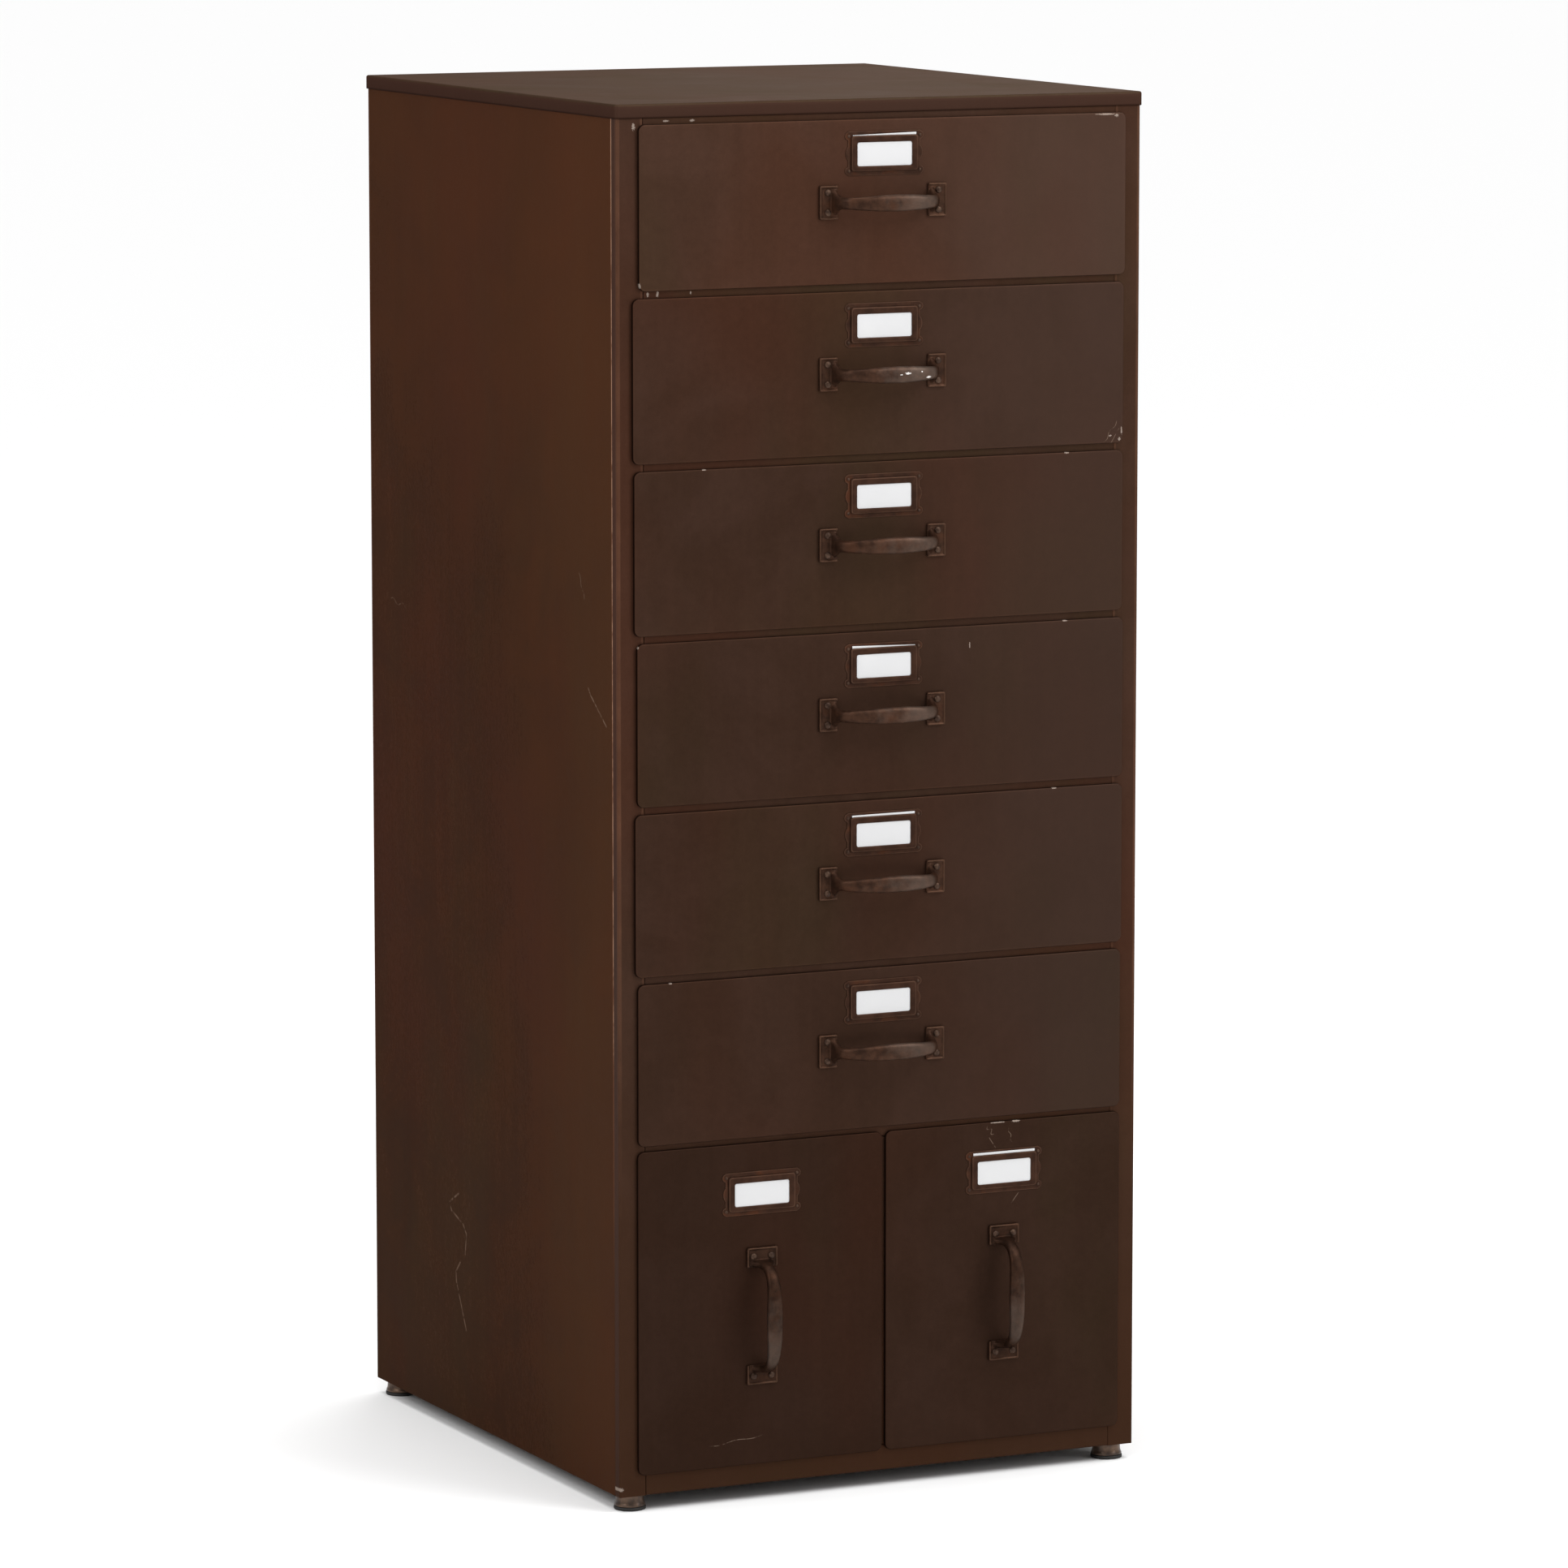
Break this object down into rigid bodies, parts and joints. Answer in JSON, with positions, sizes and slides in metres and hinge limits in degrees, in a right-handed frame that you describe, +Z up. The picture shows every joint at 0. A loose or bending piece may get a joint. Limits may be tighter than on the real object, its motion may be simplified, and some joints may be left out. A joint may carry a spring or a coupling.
{
  "type": "tall chest of drawers",
  "caption": "Tall sheet-steel chest of drawers with full-width drawers above a deep side-by-side pair, bow pull handles and label holders.",
  "frame": {"origin": "on the floor, at the centre of the overall box with the handles counted", "axes": "+Z up, -Y out of the drawer fronts, +X to the right of someone facing the fronts"},
  "size_m": [0.503, 0.581, 1.214],
  "materials": {
    "lid_paint": "aged dark brown iron finish, greyer and more worn on top, satin",
    "side_paint": "aged dark brown iron finish with rusty and olive mottling, satin",
    "front_paint": "aged dark brown iron finish, brushed, with worn edges and small chips, satin",
    "frame_paint": "aged dark brown iron finish with rusty edges, satin",
    "back_paint": "plain dark brown finish, satin",
    "inner_paint": "plain dark brown finish, matt",
    "runner_steel": "bare steel, darkened and rubbed",
    "handle_iron": "cast iron, brown wax finish rubbed to grey on the grip",
    "label_metal": "stamped steel, aged brown finish with rusty flanges",
    "screw_steel": "steel, browned",
    "card_white": "plain white card, matt",
    "foot_metal": "turned steel, browned, satin",
    "foot_rubber": "black rubber, matt"
  },
  "bodies": {
    "carcass": {"top_lid": "lid_paint", "left_side_panel": "side_paint", "right_side_panel": "side_paint", "back_panel": "back_paint", "bottom_panel": "inner_paint", "front_stiles": "frame_paint", "front_rails": "frame_paint", "centre_partition": "inner_paint", "drawer_runners": "runner_steel", "feet": "foot_metal", "foot_pads": "foot_rubber", "carcass_fasteners": "screw_steel"},
    "drawer_1": {"drawer_1_front": "front_paint", "drawer_1_tray": "inner_paint", "drawer_1_handle": "handle_iron", "drawer_1_label_holder": "label_metal", "drawer_1_fasteners": "screw_steel"},
    "card_1": {"drawer_1_card": "card_white"},
    "drawer_2": {"drawer_2_front": "front_paint", "drawer_2_tray": "inner_paint", "drawer_2_handle": "handle_iron", "drawer_2_label_holder": "label_metal", "drawer_2_fasteners": "screw_steel"},
    "card_2": {"drawer_2_card": "card_white"},
    "drawer_3": {"drawer_3_front": "front_paint", "drawer_3_tray": "inner_paint", "drawer_3_handle": "handle_iron", "drawer_3_label_holder": "label_metal", "drawer_3_fasteners": "screw_steel"},
    "card_3": {"drawer_3_card": "card_white"},
    "drawer_4": {"drawer_4_front": "front_paint", "drawer_4_tray": "inner_paint", "drawer_4_handle": "handle_iron", "drawer_4_label_holder": "label_metal", "drawer_4_fasteners": "screw_steel"},
    "card_4": {"drawer_4_card": "card_white"},
    "drawer_5": {"drawer_5_front": "front_paint", "drawer_5_tray": "inner_paint", "drawer_5_handle": "handle_iron", "drawer_5_label_holder": "label_metal", "drawer_5_fasteners": "screw_steel"},
    "card_5": {"drawer_5_card": "card_white"},
    "drawer_6": {"drawer_6_front": "front_paint", "drawer_6_tray": "inner_paint", "drawer_6_handle": "handle_iron", "drawer_6_label_holder": "label_metal", "drawer_6_fasteners": "screw_steel"},
    "card_6": {"drawer_6_card": "card_white"},
    "drawer_7": {"drawer_7_front": "front_paint", "drawer_7_tray": "inner_paint", "drawer_7_handle": "handle_iron", "drawer_7_label_holder": "label_metal", "drawer_7_fasteners": "screw_steel"},
    "card_7": {"drawer_7_card": "card_white"},
    "drawer_8": {"drawer_8_front": "front_paint", "drawer_8_tray": "inner_paint", "drawer_8_handle": "handle_iron", "drawer_8_label_holder": "label_metal", "drawer_8_fasteners": "screw_steel"},
    "card_8": {"drawer_8_card": "card_white"}
  },
  "joints": [
    {"name": "drawer_1_slide", "type": "slide", "parent": "carcass", "child": "drawer_1", "axis": [0, -1, 0], "range_m": [0, 0.38]},
    {"name": "drawer_2_slide", "type": "slide", "parent": "carcass", "child": "drawer_2", "axis": [0, -1, 0], "range_m": [0, 0.38]},
    {"name": "drawer_3_slide", "type": "slide", "parent": "carcass", "child": "drawer_3", "axis": [0, -1, 0], "range_m": [0, 0.38]},
    {"name": "drawer_4_slide", "type": "slide", "parent": "carcass", "child": "drawer_4", "axis": [0, -1, 0], "range_m": [0, 0.38]},
    {"name": "drawer_5_slide", "type": "slide", "parent": "carcass", "child": "drawer_5", "axis": [0, -1, 0], "range_m": [0, 0.38]},
    {"name": "drawer_6_slide", "type": "slide", "parent": "carcass", "child": "drawer_6", "axis": [0, -1, 0], "range_m": [0, 0.38]},
    {"name": "drawer_7_slide", "type": "slide", "parent": "carcass", "child": "drawer_7", "axis": [0, -1, 0], "range_m": [0, 0.38]},
    {"name": "drawer_8_slide", "type": "slide", "parent": "carcass", "child": "drawer_8", "axis": [0, -1, 0], "range_m": [0, 0.38]},
    {"name": "card_1_lift", "type": "slide", "parent": "drawer_1", "child": "card_1", "axis": [0, 0, 1], "range_m": [0, 0.032]},
    {"name": "card_2_lift", "type": "slide", "parent": "drawer_2", "child": "card_2", "axis": [0, 0, 1], "range_m": [0, 0.032]},
    {"name": "card_3_lift", "type": "slide", "parent": "drawer_3", "child": "card_3", "axis": [0, 0, 1], "range_m": [0, 0.032]},
    {"name": "card_4_lift", "type": "slide", "parent": "drawer_4", "child": "card_4", "axis": [0, 0, 1], "range_m": [0, 0.032]},
    {"name": "card_5_lift", "type": "slide", "parent": "drawer_5", "child": "card_5", "axis": [0, 0, 1], "range_m": [0, 0.032]},
    {"name": "card_6_lift", "type": "slide", "parent": "drawer_6", "child": "card_6", "axis": [0, 0, 1], "range_m": [0, 0.032]},
    {"name": "card_7_lift", "type": "slide", "parent": "drawer_7", "child": "card_7", "axis": [0, 0, 1], "range_m": [0, 0.032]},
    {"name": "card_8_lift", "type": "slide", "parent": "drawer_8", "child": "card_8", "axis": [0, 0, 1], "range_m": [0, 0.032]}
  ]
}
